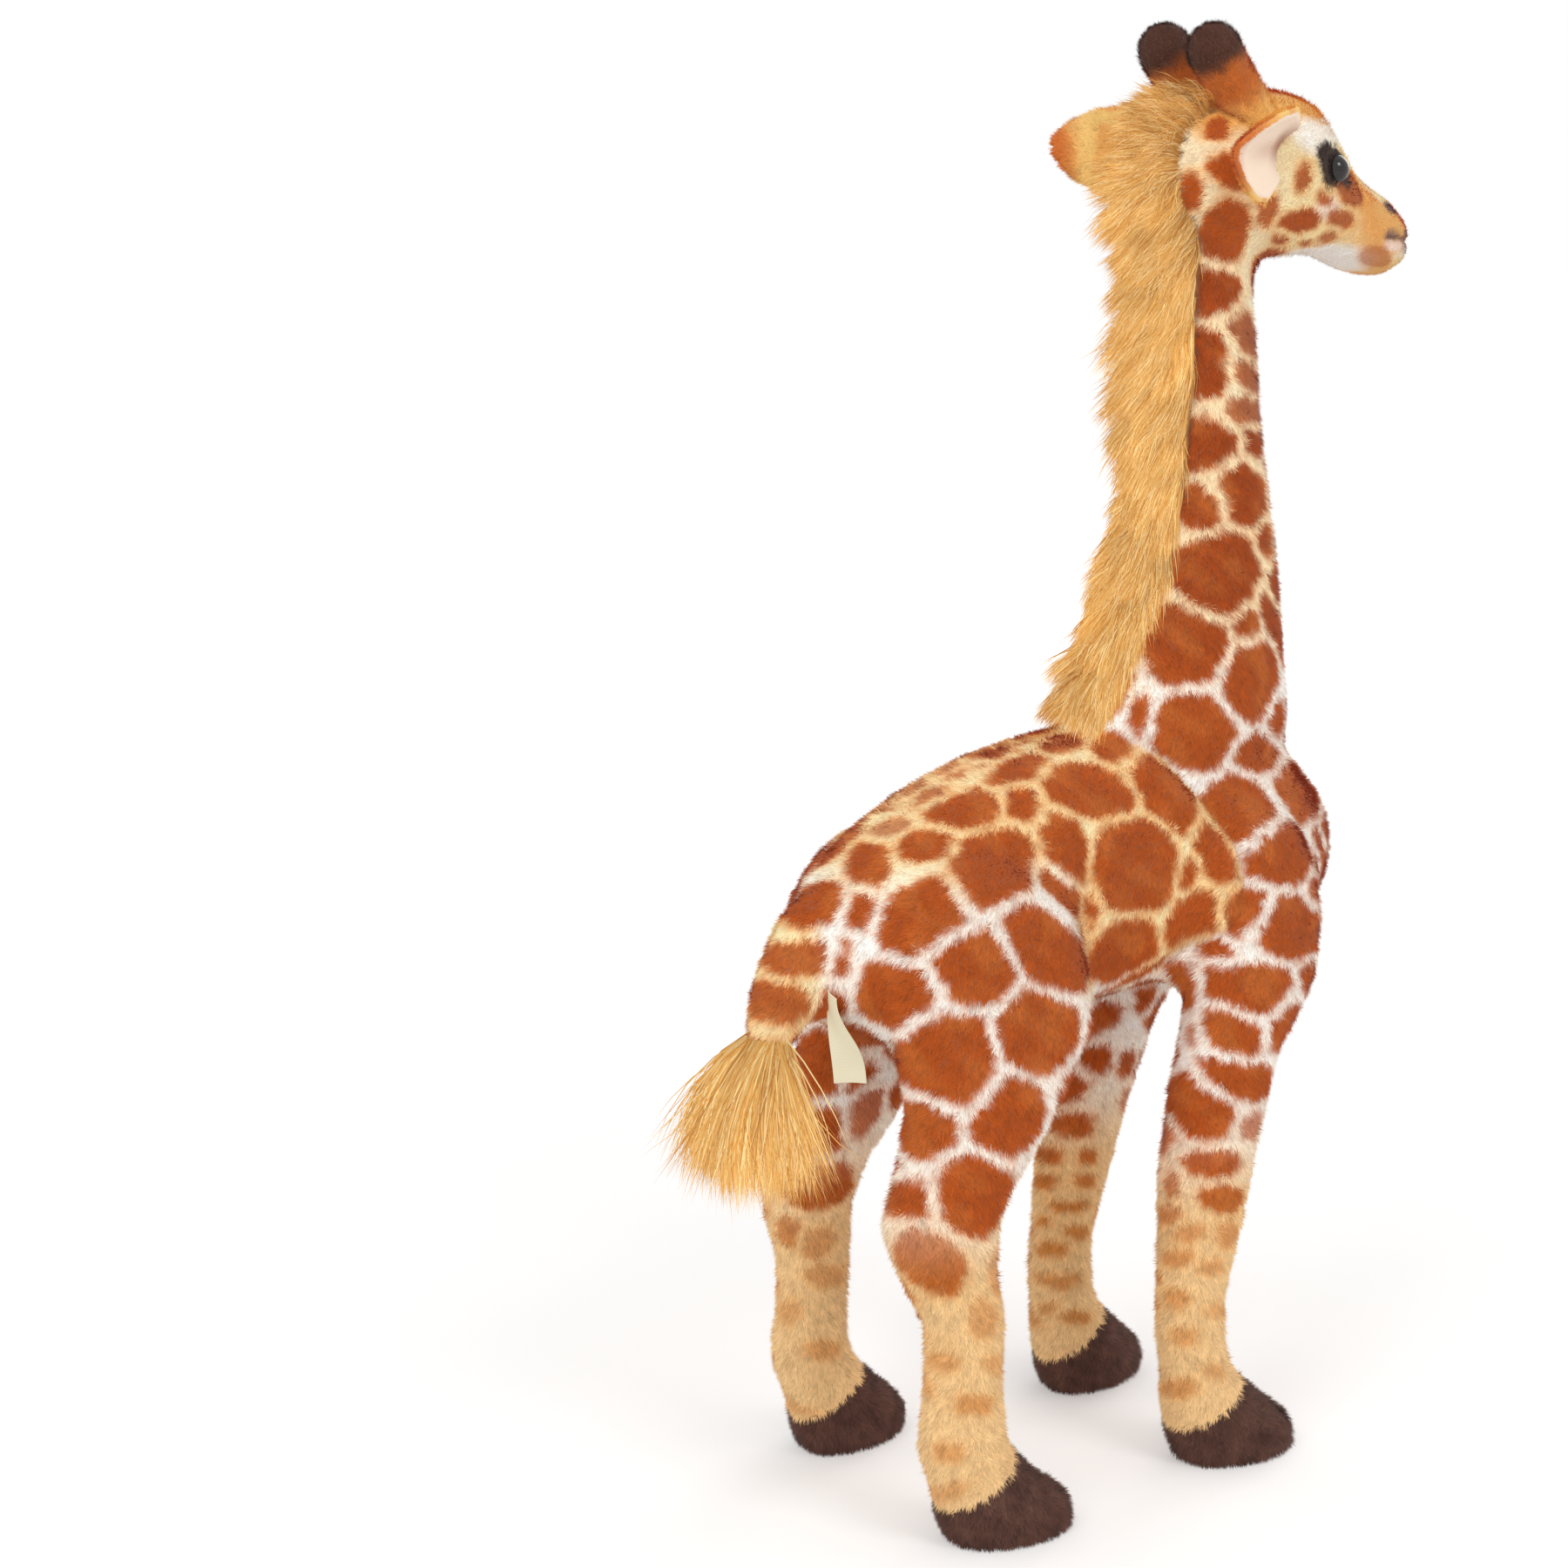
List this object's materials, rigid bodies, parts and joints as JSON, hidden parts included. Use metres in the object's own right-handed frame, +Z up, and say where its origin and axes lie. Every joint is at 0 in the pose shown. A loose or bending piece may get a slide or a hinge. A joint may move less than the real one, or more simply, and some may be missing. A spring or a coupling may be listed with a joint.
{
  "type": "plush giraffe",
  "caption": "Standing stuffed giraffe with a patterned plush coat, long neck with a furry mane, horns, ears, glossy eyes, dark hooves and a tufted tail.",
  "frame": {"origin": "on the ground, under the middle of the giraffe's bounding box", "axes": "+Z up, along the neck; the giraffe looks towards -Y; +X is its left side"},
  "size_m": [0.1706, 0.38, 0.6359],
  "materials": {
    "patched_plush": "short plush pile, rust patches between cream lines",
    "cream_plush": "short cream plush pile",
    "hoof_plush": "short dark brown plush pile",
    "horn_plush": "plush pile, rust fading to charcoal tips",
    "golden_plush": "short golden plush pile",
    "mane_fur": "long combed golden pile",
    "ear_lining_cloth": "very short pale pile",
    "fibre_filling": "loose white fibre",
    "label_cloth": "plain cream ribbon, bare",
    "wire_steel": "drawn wire",
    "black_gloss": "polished black",
    "washer_plastic": "plain white"
  },
  "bodies": {
    "torso": {"torso_back_skin": "patched_plush", "torso_chest_skin": "patched_plush", "torso_belly_skin": "cream_plush", "torso_filling": "fibre_filling", "spine_wire": "wire_steel", "care_label": "label_cloth"},
    "neck": {"neck_skin": "patched_plush", "neck_filling": "fibre_filling", "neck_mane": "mane_fur"},
    "neck_core": {"neck_wire": "wire_steel"},
    "head": {"head_skin": "patched_plush", "chin_skin": "cream_plush", "head_filling": "fibre_filling", "head_mane": "mane_fur", "horn_right_skin": "horn_plush", "horn_right_filling": "fibre_filling", "horn_left_skin": "horn_plush", "horn_left_filling": "fibre_filling", "eye_right": "black_gloss", "eye_right_washer": "washer_plastic", "eye_left": "black_gloss", "eye_left_washer": "washer_plastic"},
    "ear_right": {"ear_right_back": "golden_plush", "ear_right_lining": "ear_lining_cloth"},
    "ear_left": {"ear_left_back": "golden_plush", "ear_left_lining": "ear_lining_cloth"},
    "front_leg_right": {"front_leg_right_skin": "patched_plush", "front_leg_right_filling": "fibre_filling", "front_leg_right_wire": "wire_steel", "front_hoof_right": "hoof_plush"},
    "front_leg_left": {"front_leg_left_skin": "patched_plush", "front_leg_left_filling": "fibre_filling", "front_leg_left_wire": "wire_steel", "front_hoof_left": "hoof_plush"},
    "rear_leg_right": {"rear_leg_right_skin": "patched_plush", "rear_leg_right_filling": "fibre_filling", "rear_leg_right_wire": "wire_steel", "rear_hoof_right": "hoof_plush"},
    "rear_leg_left": {"rear_leg_left_skin": "patched_plush", "rear_leg_left_filling": "fibre_filling", "rear_leg_left_wire": "wire_steel", "rear_hoof_left": "hoof_plush"},
    "tail": {"tail_skin": "patched_plush", "tail_filling": "fibre_filling", "tail_tuft": "mane_fur"}
  },
  "joints": [
    {"name": "neck_lean", "type": "hinge", "parent": "torso", "child": "neck", "pos_m": [0, -0.06901, 0.336], "axis": [1, 0, 0], "range_deg": [-5, 5]},
    {"name": "head_turn", "type": "hinge", "parent": "neck", "child": "neck_core", "pos_m": [0, -0.08201, 0.545], "axis": [0, 0, 1], "range_deg": [-20, 20]},
    {"name": "head_nod", "type": "hinge", "parent": "neck_core", "child": "head", "pos_m": [0, -0.08201, 0.545], "axis": [1, 0, 0], "range_deg": [-12, 12]},
    {"name": "ear_right_flap", "type": "hinge", "parent": "head", "child": "ear_right", "pos_m": [-0.0313, -0.10301, 0.585], "axis": [-0.829, -0.5592, 0], "range_deg": [-12, 12]},
    {"name": "ear_left_flap", "type": "hinge", "parent": "head", "child": "ear_left", "pos_m": [0.0313, -0.10301, 0.585], "axis": [0.829, -0.5592, 0], "range_deg": [-12, 12]},
    {"name": "front_leg_right_swing", "type": "hinge", "parent": "torso", "child": "front_leg_right", "pos_m": [-0.03, -0.08245, 0.262], "axis": [1, 0, 0], "range_deg": [-10, 6]},
    {"name": "front_leg_left_swing", "type": "hinge", "parent": "torso", "child": "front_leg_left", "pos_m": [0.03, -0.08245, 0.262], "axis": [1, 0, 0], "range_deg": [-10, 6]},
    {"name": "rear_leg_right_swing", "type": "hinge", "parent": "torso", "child": "rear_leg_right", "pos_m": [-0.031, 0.06389, 0.258], "axis": [1, 0, 0], "range_deg": [-6, 10]},
    {"name": "rear_leg_left_swing", "type": "hinge", "parent": "torso", "child": "rear_leg_left", "pos_m": [0.031, 0.06389, 0.258], "axis": [1, 0, 0], "range_deg": [-6, 10]},
    {"name": "tail_swing", "type": "hinge", "parent": "torso", "child": "tail", "pos_m": [0, 0.11849, 0.275], "axis": [0, 1, 0], "range_deg": [-12, 12]}
  ]
}
